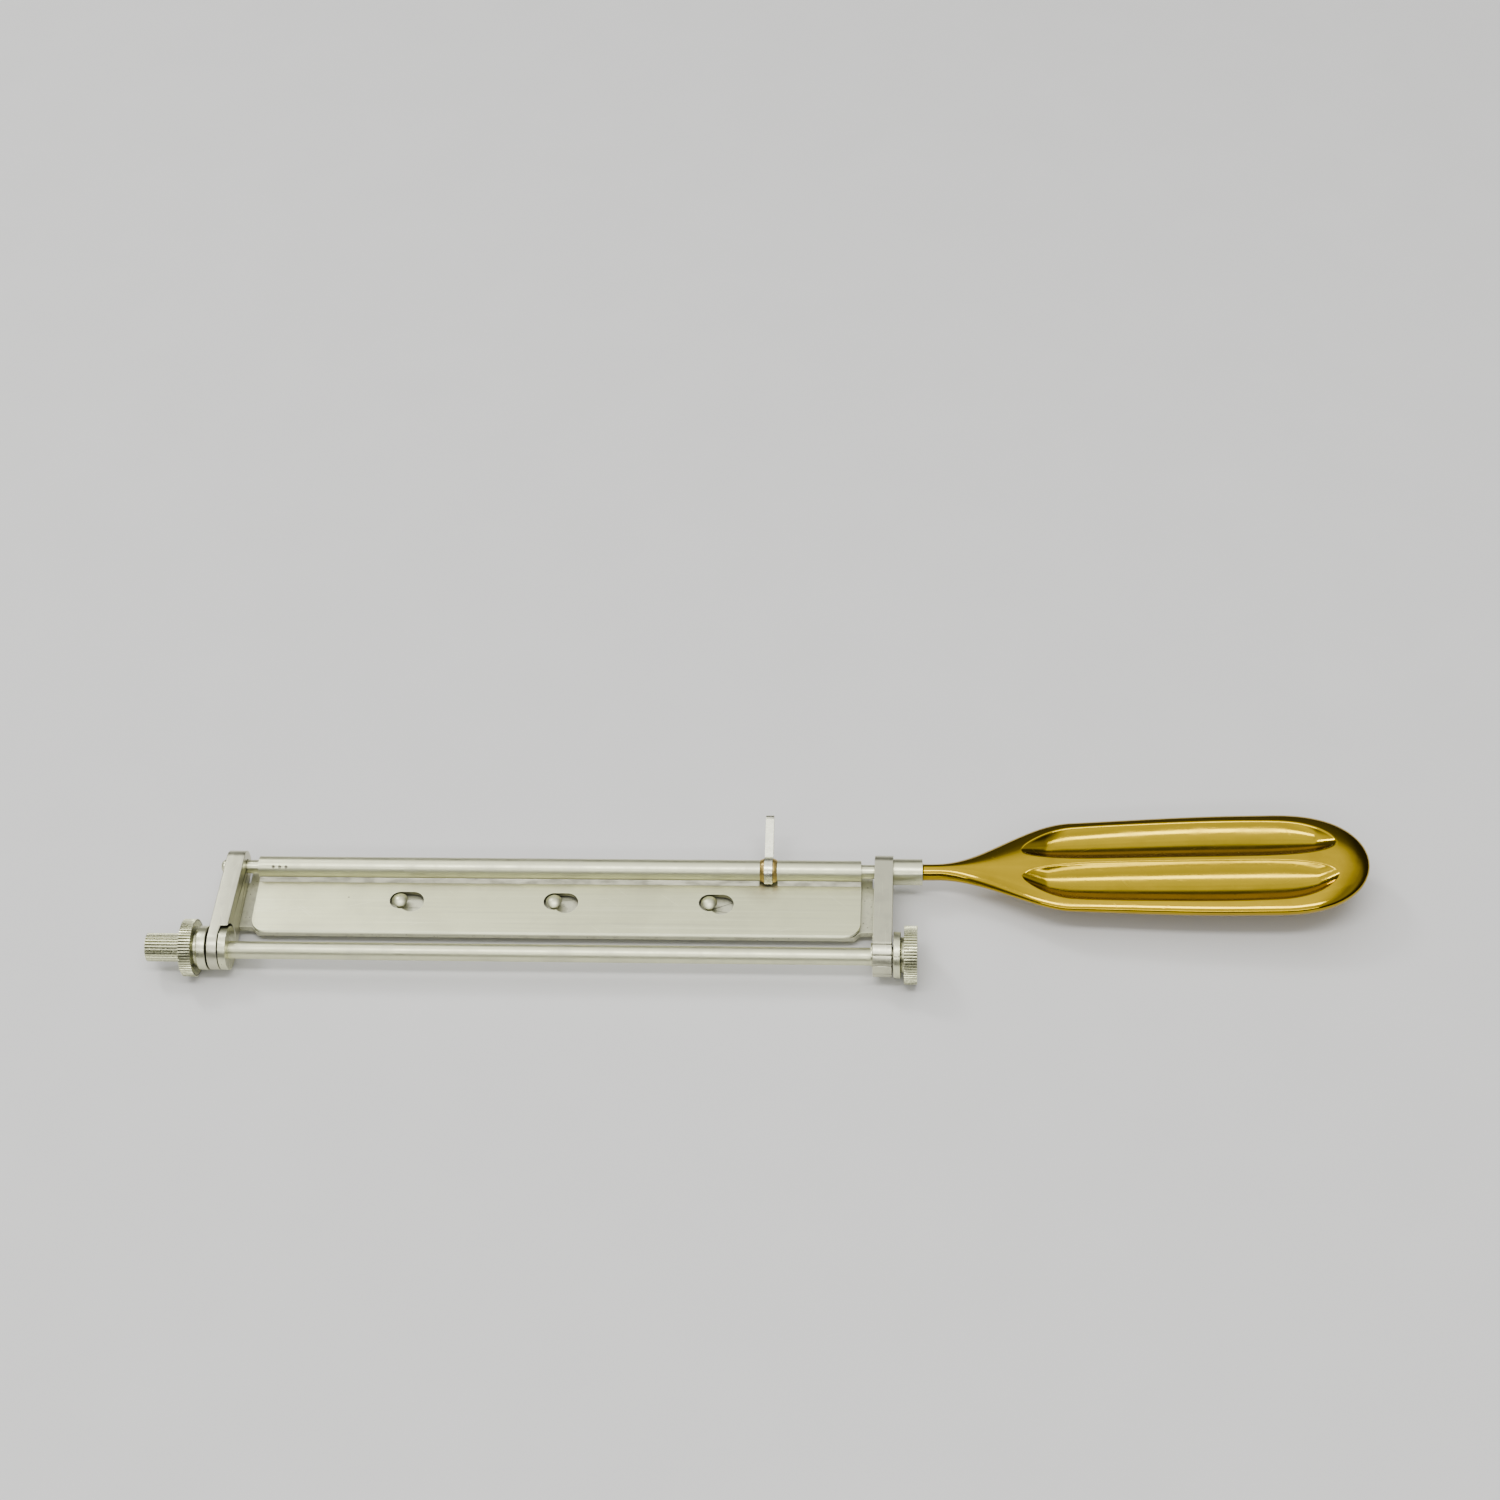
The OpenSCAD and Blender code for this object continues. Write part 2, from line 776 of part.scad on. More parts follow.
module control_knob()
  color(steel)
    placed()
      at_journal()
        difference() {
          across(-knob_out, -knob_in)
            ridged_circle(knob_d, knob_ridges);
          bar(-knob_in - knob_len * 0.7, -knob_in + cut, tip_d / 2);
        }

module left_collar()
  color(steel)
    placed()
      at_journal()
        difference() {
          bar(-left_collar_in - left_collar_t, -left_collar_in, left_collar_d / 2);
          bar(-left_rim_out, -outer_face, stem_r + stem_fit);
        }

// The notch in the collar's edge is read against the lines on the arm
module right_collar()
  color(steel)
    placed()
      at_journal()
        difference() {
          bar(right_collar_in, right_collar_in + right_collar_t, right_collar_d / 2);
          bar(outer_face, right_rim_out, stem_r + stem_fit);
          rotate([reading_angle + 5, 0, 0])
            translate([right_collar_in - cut, right_collar_d / 2 - 0.3, -0.2])
              cube([right_collar_t + 2 * cut, 1, 0.4]);
        }

// A lock nut from its boss towards the outside, along +X
module lock_nut(rim_t)
  difference() {
    union() {
      bar(0, nut_boss_t + cut / 2, nut_boss_d / 2);
      across(nut_boss_t, nut_boss_t + rim_t)
        ridged_circle(nut_d, nut_ridges);
    }
    bar(-cut, nut_boss_t + rim_t + cut, stem_r + stem_fit);
  }

module left_lock_nut()
  color(steel)
    placed()
      at_journal()
        translate([-left_nut_in, 0, 0])
          mirror([1, 0, 0])
            lock_nut(left_nut_t);

module right_lock_nut()
  color(steel)
    placed()
      at_journal()
        translate([right_nut_in, 0, 0])
          lock_nut(right_nut_t);

left_arm();
right_arm();
blade_carrier();
blade_studs();
ferrule();
handle();
pivot_rod();
hinge_tube();
cover_plate();
cover_seam();
lever();
lever_braze();
guard_roller();
left_spindle();
right_spindle();
control_knob();
left_collar();
left_lock_nut();
right_collar();
right_lock_nut();
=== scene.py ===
# %% [markdown]
# # A roller knife for thin skin grafts
# The knife is a steel frame with a cover plate on a long hinge rod, a guard roller on eccentric
# spindles and a fluted brass handle. Its steel pieces come from the imported model. This lesson gives
# each of them a real finish, casts the handle again as one smooth skin, and places the camera for the
# picture.

import math

import bmesh
import bpy
from mathutils import Matrix, Vector


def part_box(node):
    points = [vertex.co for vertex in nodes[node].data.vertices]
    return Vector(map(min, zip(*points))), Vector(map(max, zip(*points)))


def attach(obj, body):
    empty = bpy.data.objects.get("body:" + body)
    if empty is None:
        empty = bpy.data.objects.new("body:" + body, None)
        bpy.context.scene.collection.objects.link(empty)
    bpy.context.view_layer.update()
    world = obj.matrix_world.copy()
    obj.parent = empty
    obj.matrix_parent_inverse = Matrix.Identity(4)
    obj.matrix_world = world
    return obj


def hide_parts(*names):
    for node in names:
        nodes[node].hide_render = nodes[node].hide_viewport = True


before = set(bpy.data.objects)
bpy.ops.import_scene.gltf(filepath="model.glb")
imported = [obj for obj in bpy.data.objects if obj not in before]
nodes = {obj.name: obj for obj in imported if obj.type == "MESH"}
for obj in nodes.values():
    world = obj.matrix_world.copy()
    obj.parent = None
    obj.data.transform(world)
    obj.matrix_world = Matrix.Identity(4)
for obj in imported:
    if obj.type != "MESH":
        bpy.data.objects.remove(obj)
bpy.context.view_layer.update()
MM = 0.001
print("pieces loaded:", len(nodes))

# %% [markdown]
# Every size below is in millimetres, as on the workshop drawing, and `MM` turns it into metres. The
# hinge rod's axis is the line that everything else was measured from. Its place in the model is
# kept here, together with the spindles' axis, the plane where the handle starts and the height of
# the table. They are the only places that the finishes and the handle have to share.

# %% Places that the finishes and the handle share
ROD_Y = 9.1
ROD_Z = 5.0
SPINDLE_Y = ROD_Y - 26.5
FERRULE_END = 94.8
FLOOR_Z = -2.4
print("handle starts at x =", FERRULE_END, "mm")

# %% [markdown]
# A finish is a material made of a few layers: a base metal, a grain, some wear and a little relief.
# Each could be wired by hand in the Shader Editor, but fourteen finishes that share the same kinds
# of layer are easier to read as short calls. `Finish` keeps the material and adds nodes to it. Its
# coordinates are the piece's own millimetres, so a noise with scale 2 has features half a
# millimetre wide. `paint` lays a colour over the tone so far, `roughen` adds to the roughness, and
# `relief` presses height into the surface.


# %% A small kit for building finishes
class Finish:
    def __init__(self, name, tone, roughness, metallic=1.0):
        self.material = bpy.data.materials.new(name)
        self.material.use_nodes = True
        self.tree = self.material.node_tree
        self.shader = self.tree.nodes["Principled BSDF"]
        self.shader.inputs["Metallic"].default_value = metallic
        self.tone = (*tone, 1.0)
        self.rough = roughness
        self.normal = None
        where = self.add("ShaderNodeTexCoord")
        self.place = self.vector("SCALE", where.outputs["Object"], factor=1 / MM)
        self.x, self.y, self.z = self.parts(self.place)
        self.facing_up = self.maths("ABSOLUTE", self.parts(where.outputs["Normal"])[2])

    def add(self, kind, **settings):
        node = self.tree.nodes.new(kind)
        for name, value in settings.items():
            setattr(node, name, value)
        return node

    def put(self, value, socket):
        if isinstance(value, bpy.types.NodeSocket):
            self.tree.links.new(value, socket)
        else:
            socket.default_value = value

    def parts(self, vector):
        node = self.add("ShaderNodeSeparateXYZ")
        self.put(vector, node.inputs[0])
        return node.outputs

    def vector(self, operation, first, second=None, factor=None):
        node = self.add("ShaderNodeVectorMath", operation=operation)
        self.put(first, node.inputs[0])
        if second is not None:
            self.put(second, node.inputs[1])
        if factor is not None:
            node.inputs["Scale"].default_value = factor
        scalar = operation in ("DOT_PRODUCT", "DISTANCE")
        return node.outputs["Value" if scalar else "Vector"]

    def maths(self, operation, first, second=0.0):
        node = self.add("ShaderNodeMath", operation=operation)
        self.put(first, node.inputs[0])
        self.put(second, node.inputs[1])
        return node.outputs[0]

    def spread(self, value, low, high, to_low=0.0, to_high=1.0):
        node = self.add("ShaderNodeMapRange", interpolation_type="SMOOTHSTEP")
        self.put(value, node.inputs["Value"])
        node.inputs["From Min"].default_value = low
        node.inputs["From Max"].default_value = high
        node.inputs["To Min"].default_value = to_low
        node.inputs["To Max"].default_value = to_high
        return node.outputs["Result"]

    def both(self, *shares):
        product = shares[0]
        for share in shares[1:]:
            product = self.maths("MULTIPLY", product, share)
        return product

    def within(self, value, low, high, soft=0.1):
        return self.both(self.spread(value, low - soft, low), self.spread(value, high + soft, high))

    def noise(self, scale, stretch=(1, 1, 1), detail=3.0, roughness=0.5, turn=0.0, shift=0.0):
        mapped = self.add("ShaderNodeMapping")
        self.put(self.place, mapped.inputs["Vector"])
        mapped.inputs["Rotation"].default_value = (0, 0, math.radians(turn))
        mapped.inputs["Location"].default_value = (shift, 2 * shift, 3 * shift)
        stretched = self.vector("MULTIPLY", mapped.outputs[0], stretch)
        node = self.add("ShaderNodeTexNoise")
        self.put(stretched, node.inputs["Vector"])
        node.inputs["Scale"].default_value = scale
        node.inputs["Detail"].default_value = detail
        node.inputs["Roughness"].default_value = roughness
        return node.outputs["Fac"]

    def dots(self, cell, radius, stretch=(1, 1, 1)):
        node = self.add("ShaderNodeTexVoronoi")
        self.put(self.vector("MULTIPLY", self.place, stretch), node.inputs["Vector"])
        node.inputs["Scale"].default_value = 1 / cell
        node.inputs["Randomness"].default_value = 1.0
        chosen = self.spread(self.parts(node.outputs["Color"])[0], 0.62, 0.66)
        return self.both(self.spread(node.outputs["Distance"], radius / cell, 0.4 * radius / cell), chosen)

    def spot(self, centre, inner, outer):
        return self.spread(self.vector("DISTANCE", self.place, centre), outer, inner)

    def from_axis(self, axis_y, axis_z):
        across = self.maths("POWER", self.maths("SUBTRACT", self.y, axis_y), 2.0)
        height = self.maths("POWER", self.maths("SUBTRACT", self.z, axis_z), 2.0)
        return self.maths("SQRT", self.maths("ADD", across, height))

    def edges(self, radius):
        rounded = self.add("ShaderNodeBevel", samples=4)
        rounded.inputs["Radius"].default_value = radius * MM
        true_normal = self.add("ShaderNodeNewGeometry").outputs["Normal"]
        agreement = self.vector("DOT_PRODUCT", rounded.outputs["Normal"], true_normal)
        return self.spread(agreement, 0.995, 0.88)

    def crevices(self, reach, start=0.70, full=0.28):
        node = self.add("ShaderNodeAmbientOcclusion", samples=8)
        node.inputs["Distance"].default_value = reach * MM
        return self.spread(node.outputs["AO"], start, full)

    def paint(self, share, colour):
        node = self.add("ShaderNodeMix", data_type="RGBA")
        colours = [socket for socket in node.inputs if socket.type == "RGBA"]
        self.put(share, node.inputs["Factor"])
        self.put(self.tone, colours[0])
        self.put((*colour, 1.0), colours[1])
        self.tone = [socket for socket in node.outputs if socket.type == "RGBA"][0]

    def roughen(self, amount):
        self.rough = self.maths("ADD", self.rough, amount)

    def relief(self, height, depth):
        node = self.add("ShaderNodeBump", invert=depth < 0)
        node.inputs["Distance"].default_value = abs(depth) * MM
        self.put(height, node.inputs["Height"])
        if self.normal is not None:
            self.put(self.normal, node.inputs["Normal"])
        self.normal = node.outputs["Normal"]

    def done(self):
        self.put(self.tone, self.shader.inputs["Base Color"])
        self.put(self.rough, self.shader.inputs["Roughness"])
        if self.normal is not None:
            self.put(self.normal, self.shader.inputs["Normal"])
        print("finish", self.material.name, "with", len(self.tree.nodes), "nodes")
        return self.material


# %% [markdown]
# The steel was rubbed satin and is a little warm in tone. All its finishes share these few tones:
# the clean metal, the greyer metal where oil and dust stay behind, also painted as shade beside
# the tube, the bright metal of a rubbed edge, and a near black that is painted as shade in grooves
# and corners and as the dark wax in engraved lines.

# %% Tones of the steel
CLEAN_STEEL = (0.67, 0.68, 0.43)
DULL_STEEL = (0.36, 0.345, 0.25)
BRIGHT_STEEL = (0.88, 0.89, 0.66)
DARK_WAX_AND_SHADE = (0.045, 0.040, 0.030)
print("clean steel", CLEAN_STEEL)


# %% [markdown]
# Fine scratches run in a few directions over a used steel face. They could be drawn as an image, but
# an image repeats and blurs in a close view. Here each set is a noise drawn out along one
# direction, of which only the highest crests are kept, so it comes out as short thin lines at any
# distance. Corners are painted darker as shade: ambient occlusion finds them, being low wherever a
# corner shuts out the light.


# %% Scratches and painted corner shade that every steel piece has
def scratch(made, turn, shift, depth=0.006, share=0.35):
    lines = made.noise(1.1, stretch=(0.05, 1.8, 0.6), detail=1.0, turn=turn, shift=shift)
    marks = made.spread(lines, 0.735, 0.775)
    made.paint(made.both(marks, share), BRIGHT_STEEL)
    made.relief(marks, -depth)


def paint_corner_shade(made, reach, share=0.75):
    # Painted shade: corners where ambient occlusion is low are painted dark.
    made.paint(made.both(made.crevices(reach), share), DARK_WAX_AND_SHADE)


print("scratches and grime are ready")

# %% [markdown]
# The cover plate was rubbed lengthwise with fine paper. That leaves long streaks and soft cloudy
# patches. Three noises make them, one round and two drawn out along the plate, because the real
# plate has all three scales and one strong pattern would look printed.

# %% Satin finish of the cover plate
CLOUDED = (0.55, 0.55, 0.36)
satin = Finish("satin_cover", CLEAN_STEEL, 0.36)
cloud = satin.noise(0.07, detail=4, roughness=0.6)
streak = satin.noise(0.9, stretch=(0.02, 1.3, 1), detail=4)
hair = satin.noise(2.4, stretch=(0.04, 1.6, 1), detail=3)
satin.paint(satin.spread(cloud, 0.42, 0.70, 0, 0.5), CLOUDED)
satin.paint(satin.spread(streak, 0.50, 0.75, 0, 0.30), BRIGHT_STEEL)
satin.paint(satin.spread(streak, 0.48, 0.28, 0, 0.22), DULL_STEEL)
satin.roughen(satin.spread(cloud, 0.35, 0.65, 0.0, 0.08))
satin.roughen(satin.spread(streak, 0.35, 0.65, -0.03, 0.03))
satin.relief(hair, 0.003)
for turn, shift in ((3, 11), (-14, 23), (38, 35)):
    scratch(satin, turn, shift)
print("the cover is rubbed, its roughness starts at 0.36")

# %% [markdown]
# Oil has stained the cover in front of the lever, where the braze was heated. A grey band along
# the tube is painted shade, and the walls of the three slots are painted dark as shade. The thin
# front edge is painted bright, both as rubbed metal and as the highlight that its slope catches. A
# mask painted by hand would do this too, but places measured on the drawing stay right when the
# finish is used on a new mesh of the same cover.

# %% Stain, painted shade and front edge of the cover
LEVER_X = 55.0
SLOT_Y = ROD_Y - 9.3
SLOTS_TO_X = 60
FRONT_BAND_Y = ROD_Y - 17.1
STAINED = (0.26, 0.22, 0.13)
SPECK = (0.10, 0.09, 0.07)
stain = satin.both(satin.spot((LEVER_X - 1, ROD_Y - 4.5, 3.2), 1.5, 6.5), satin.spread(cloud, 0.2, 0.6))
satin.paint(satin.both(stain, 0.55), STAINED)
# Painted shade: a grey band along the tube.
tube_shade = satin.both(satin.spread(satin.y, ROD_Y - 7.5, ROD_Y - 4.0), satin.spread(cloud, 0.1, 0.6))
satin.paint(satin.both(tube_shade, 0.7), DULL_STEEL)
satin.paint(satin.both(satin.dots(9.0, 0.32), 0.8), SPECK)
satin.paint(satin.both(satin.edges(0.3), 0.8), BRIGHT_STEEL)
sloping = satin.spread(satin.facing_up, 0.97, 0.85)
# Painted highlight and wear: the sloped front edge is painted bright.
front_edge = satin.both(sloping, satin.spread(satin.y, FRONT_BAND_Y + 2, FRONT_BAND_Y))
satin.paint(satin.both(front_edge, 0.8), BRIGHT_STEEL)
near_slots = satin.both(
    satin.within(satin.y, SLOT_Y - 4.0, SLOT_Y + 3.2),
    satin.within(satin.x, -SLOTS_TO_X, SLOTS_TO_X),
)
# Painted shade: the slot walls are painted dark.
walls = satin.both(satin.spread(satin.facing_up, 0.7, 0.3), near_slots)
satin.paint(satin.both(walls, 0.8), DARK_WAX_AND_SHADE)
# Painted shade in the cover's corners.
paint_corner_shade(satin, 1.2, 0.6)
satin_cover = satin.done()

# %% [markdown]
# The blade carrier is blasted, not rubbed. Its face is grainy, full of tiny pits and a little
# spotted, and duller than the cover. The grain is a noise with strong fine detail. The pits are
# cells of a Voronoi texture, of which about a third is kept, so that they lie unevenly as rust
# pits do.

# %% Blasted finish of the carrier
PIT = (0.10, 0.095, 0.075)
blasted = Finish("blasted_carrier", (0.58, 0.58, 0.43), 0.46)
grain = blasted.noise(3.0, detail=5, roughness=0.7)
blotch = blasted.noise(0.35, detail=4, roughness=0.6)
blasted.paint(blasted.spread(blotch, 0.48, 0.70, 0, 0.6), DULL_STEEL)
blasted.paint(blasted.spread(grain, 0.56, 0.72, 0, 0.4), BRIGHT_STEEL)
blasted.paint(blasted.spread(grain, 0.44, 0.30, 0, 0.5), DULL_STEEL)
pits = blasted.dots(1.0, 0.24)
blasted.paint(blasted.both(pits, 0.9), PIT)
blasted.relief(grain, 0.02)
blasted.relief(pits, -0.03)
blasted.roughen(blasted.spread(grain, 0.35, 0.65, -0.05, 0.08))
blasted.paint(blasted.both(blasted.edges(0.3), 0.7), CLEAN_STEEL)
scratch(blasted, 62, 5)
# Painted shade in the carrier's corners.
paint_corner_shade(blasted, 1.5, 0.7)
blasted_carrier = blasted.done()

# %% [markdown]
# The two arms were filed and rubbed by hand, so their lines run from the roller to the rod. The
# setting lines around the right arm's eye are engraved, and a wipe of dark wax stays in them. They
# could have a material of their own, but then every engraved face would have to be picked by hand.
# They lie a little nearer the spindles' axis than the eye's own surface does, so the finish finds
# them by that distance.

# %% Filed finish of the arms
EYE_R = 5.6
ARM_FROM = 82.5
ARM_TO = 87.3
filed = Finish("filed_arms", (0.62, 0.615, 0.45), 0.33)
lines = filed.noise(1.6, stretch=(1.5, 0.05, 1), detail=4)
cloud = filed.noise(0.2, detail=4)
filed.paint(filed.spread(cloud, 0.42, 0.68, 0, 0.4), (0.45, 0.44, 0.33))
filed.paint(filed.spread(lines, 0.54, 0.75, 0, 0.3), BRIGHT_STEEL)
filed.relief(lines, 0.006)
filed.roughen(filed.spread(lines, 0.35, 0.65, -0.04, 0.06))
for turn, shift in ((72, 3), (118, 9)):
    scratch(filed, turn, shift)
filed.paint(filed.both(filed.edges(0.35), 0.85), BRIGHT_STEEL)
eye = filed.from_axis(SPINDLE_Y, ROD_Z)
waxed = filed.both(
    filed.within(eye, EYE_R - 0.22, EYE_R - 0.12, 0.03),
    filed.within(filed.x, ARM_FROM + 0.1, ARM_TO - 0.1, 0.02),
)
filed.paint(filed.both(waxed, 0.9), DARK_WAX_AND_SHADE)
# Painted shade in the arms' corners.
paint_corner_shade(filed, 1.5)
filed_arms = filed.done()

# %% [markdown]
# Rod, tube, roller, collars, spindles and studs came off a lathe. A turning tool leaves faint rings around
# the axis, and handling leaves streaks along it. All but the studs lie along the same direction, so
# one noise drawn out around it and one drawn out along it serve them all. Only the polish differs:
# the roller and the studs are dullest. The three stake marks that pin the hinge tube to its rod are
# painted as dark spots, the shade in their dimples, and the small pieces get painted corner shade.


# %% Turned finish of the round pieces
def turned_finish(name, roughness, stakes=(), shade_corners=False):
    made = Finish(name, (0.72, 0.725, 0.49), roughness)
    rings = made.noise(0.6, stretch=(1.6, 0.02, 0.02), detail=2)
    streaks = made.noise(0.8, stretch=(0.03, 1, 1), detail=4)
    cloud = made.noise(0.15, detail=3)
    made.paint(made.spread(cloud, 0.42, 0.70, 0, 0.35), (0.52, 0.51, 0.385))
    made.paint(made.spread(streaks, 0.52, 0.75, 0, 0.25), DULL_STEEL)
    made.relief(rings, 0.0008)
    made.roughen(made.spread(rings, 0.35, 0.65, -0.03, 0.03))
    made.roughen(made.spread(cloud, 0.35, 0.65, 0.0, 0.07))
    scratch(made, 8, 2, depth=0.002, share=0.25)
    made.paint(made.both(made.edges(0.25), 0.8), BRIGHT_STEEL)
    # Painted shade: dark spots in the stake marks' dimples.
    for centre in stakes:
        made.paint(made.both(made.spot(centre, 0.34, 0.52), 0.9), DARK_WAX_AND_SHADE)
    # Painted shade in corners, where asked.
    if shade_corners:
        paint_corner_shade(made, 1.5)
    return made.done()


STAKE_R = 2.8
STAKE_ANGLE = math.radians(127)
FIRST_STAKE_X = -75.0
STAKE_PITCH = 1.7
stake_y = ROD_Y + STAKE_R * math.cos(STAKE_ANGLE)
stake_z = ROD_Z + STAKE_R * math.sin(STAKE_ANGLE)
stake_marks = [(FIRST_STAKE_X + STAKE_PITCH * i, stake_y, stake_z) for i in range(3)]
tube_steel = turned_finish("turned_tube", 0.36, stake_marks)
roller_steel = turned_finish("turned_roller", 0.38)
stud_steel = turned_finish("turned_studs", 0.40)
small_steel = turned_finish("turned_small", 0.28, shade_corners=True)

# %% [markdown]
# Straight knurls were rolled into the nuts and the knob. They are real grooves in the model, because
# a bump would leave the rim's outline smooth. Fingers polish the crests, and the grooves are painted
# dark as shade. The distance from the spindles' axis tells crest from groove.


# %% Knurled finish of nuts and knob
def knurled_finish(name, crest_radius):
    made = Finish(name, CLEAN_STEEL, 0.30)
    radius = made.from_axis(SPINDLE_Y, ROD_Z)
    grooved = made.spread(radius, crest_radius - 0.06, crest_radius - 0.26)
    rim_only = made.spread(radius, crest_radius - 0.50, crest_radius - 0.38)
    grain = made.noise(1.4, detail=4)
    made.paint(made.spread(grain, 0.45, 0.72, 0, 0.4), DULL_STEEL)
    # Painted shade: the bottoms of the knurl grooves are painted dark.
    made.paint(made.both(grooved, rim_only, 0.9), DARK_WAX_AND_SHADE)
    made.paint(made.both(made.edges(0.12), 0.6), BRIGHT_STEEL)
    made.relief(grain, 0.006)
    made.roughen(made.spread(grain, 0.35, 0.65, -0.04, 0.06))
    # Painted shade in the knurled pieces' corners.
    paint_corner_shade(made, 1.0, 0.6)
    return made.done()


NUT_R = 7.4
KNOB_R = 3.65
knurled_nut = knurled_finish("knurled_nut", NUT_R)
knurled_knob = knurled_finish("knurled_knob", KNOB_R)

# %% [markdown]
# The lever is polished smooth. The braze at its foot is a brass-rich filler that froze with a
# slightly lumpy skin and darkened in spots: a low noise presses the lumps, and a second one lays
# the burnt tone. A thin line of the same work, filed flush and grey, closes the corner between
# tube and plate.

# %% Polished steel, braze and the seam beside the tube
polished = Finish("polished_steel", (0.84, 0.84, 0.66), 0.24)
fine = polished.noise(0.9, detail=4)
polished.paint(polished.spread(fine, 0.45, 0.72, 0, 0.35), DULL_STEEL)
polished.relief(fine, 0.006)
polished.roughen(polished.spread(fine, 0.35, 0.65, -0.04, 0.06))
scratch(polished, 30, 7)
polished.paint(polished.both(polished.edges(0.2), 0.7), BRIGHT_STEEL)
polished_steel = polished.done()

BURNT = (0.24, 0.17, 0.08)
braze = Finish("braze", (0.60, 0.43, 0.13), 0.32)
lump = braze.noise(1.0, detail=3)
burnt = braze.noise(0.6, detail=4, shift=8)
braze.paint(braze.spread(burnt, 0.45, 0.70, 0, 0.8), BURNT)
braze.relief(lump, 0.09)
braze.roughen(braze.spread(lump, 0.35, 0.65, -0.05, 0.12))
# Painted shade in the braze's corners.
paint_corner_shade(braze, 0.8, 0.5)
braze_gold = braze.done()

seam = Finish("filed_seam", (0.46, 0.45, 0.34), 0.36)
lump = seam.noise(0.7, stretch=(0.4, 1, 1), detail=4)
seam.paint(seam.spread(lump, 0.45, 0.70, 0, 0.6), (0.24, 0.23, 0.18))
seam.relief(lump, 0.03)
seam.roughen(seam.spread(lump, 0.35, 0.65, -0.05, 0.10))
filed_seam = seam.done()

# %% [markdown]
# The handle's brass is polished to a mirror, with a faint greenish patina in the flutes, where no
# hand rubs it. Finger marks show as soft clouds, wiping leaves hair-fine lines lengthwise, and a
# life in theatre has left a few small dings. A mirror shows every dent, so none of its reliefs is
# deeper than two hundredths of a millimetre. The attribute `flute` comes with the handle's skin and is 1
# at the bottom of a flute, which is surer than guessing the flutes from their shade.

# %% Mirror brass with patina in the flutes
HANDLED = (0.32, 0.21, 0.009)
PATINA = (0.26, 0.195, 0.010)
DINGED = (0.35, 0.25, 0.07)
brass = Finish("mirror_brass", (0.41, 0.28, 0.012), 0.07)
in_flute = brass.add("ShaderNodeAttribute", attribute_name="flute").outputs["Fac"]
smudge = brass.noise(0.09, detail=5, roughness=0.6)
patina = brass.noise(0.25, stretch=(0.3, 1, 1), detail=4, shift=3)
wiped = brass.noise(2.2, stretch=(0.04, 1.4, 1), detail=3)
brass.paint(brass.spread(smudge, 0.40, 0.70, 0, 0.5), HANDLED)
brass.paint(brass.both(in_flute, brass.spread(patina, 0.2, 0.8, 0.25, 0.65)), PATINA)
brass.roughen(brass.spread(smudge, 0.42, 0.68, 0.0, 0.09))
brass.roughen(brass.both(in_flute, 0.07))
brass.roughen(brass.spread(wiped, 0.40, 0.65, 0.0, 0.03))
brass.relief(wiped, 0.0012)
brass.relief(brass.noise(0.22, detail=2, shift=6), 0.02)
for turn, shift in ((5, 4), (-22, 8), (47, 15)):
    lines = brass.noise(1.0, stretch=(0.05, 1.8, 0.6), detail=1.0, turn=turn, shift=shift)
    brass.relief(brass.spread(lines, 0.745, 0.775), -0.003)
    brass.roughen(brass.spread(lines, 0.745, 0.775, 0, 0.12))
dings = brass.dots(7.0, 0.35)
brass.relief(dings, -0.02)
brass.paint(brass.both(dings, 0.4), DINGED)
# Painted shade in the handle's corners.
paint_corner_shade(brass, 0.6, 0.5)
mirror_brass = brass.done()

# %% [markdown]
# Each steel node now gets its finish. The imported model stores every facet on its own, so a Weld
# modifier joins them first. A Bevel modifier then rounds the real edges by a tenth of a millimetre
# or two, and those thin rounded edges are what catches the light on a real instrument. Last, a
# Weighted Normal modifier lets the large faces set the shading, so a flat face mirrors evenly.

# %% Dress the steel pieces
DRESS = {
    "cover_plate": (satin_cover, 0.12),
    "blade_carrier": (blasted_carrier, 0.10),
    "left_arm": (filed_arms, 0.25),
    "right_arm": (filed_arms, 0.25),
    "pivot_rod": (small_steel, 0.08),
    "hinge_tube": (tube_steel, 0.10),
    "guard_roller": (roller_steel, 0.15),
    "left_spindle": (small_steel, 0.15),
    "right_spindle": (small_steel, 0.12),
    "left_collar": (small_steel, 0.25),
    "right_collar": (small_steel, 0.20),
    "ferrule": (small_steel, 0.25),
    "left_lock_nut": (knurled_nut, 0.05),
    "right_lock_nut": (knurled_nut, 0.05),
    "control_knob": (knurled_knob, 0.05),
    "blade_studs": (stud_steel, 0.12),
    "lever": (polished_steel, 0.30),
    "lever_braze": (braze_gold, 0.20),
    "cover_seam": (filed_seam, 0.10),
}


WELD_REACH = 0.002
SHARP_FROM = math.radians(28)


def dress(name, material, edge):
    piece = nodes[name]
    piece.data.materials.clear()
    piece.data.materials.append(material)
    weld = piece.modifiers.new("join facets", "WELD")
    weld.merge_threshold = WELD_REACH * MM
    bevel = piece.modifiers.new("rounded edges", "BEVEL")
    bevel.width = edge * MM
    bevel.segments = 2
    bevel.limit_method = "ANGLE"
    bevel.angle_limit = SHARP_FROM
    level = piece.modifiers.new("flat faces stay flat", "WEIGHTED_NORMAL")
    level.mode = "FACE_AREA"
    level.weight = 80
    return piece


for name, (material, edge) in DRESS.items():
    dress(name, material, edge)
print("dressed", len(DRESS), "steel pieces")

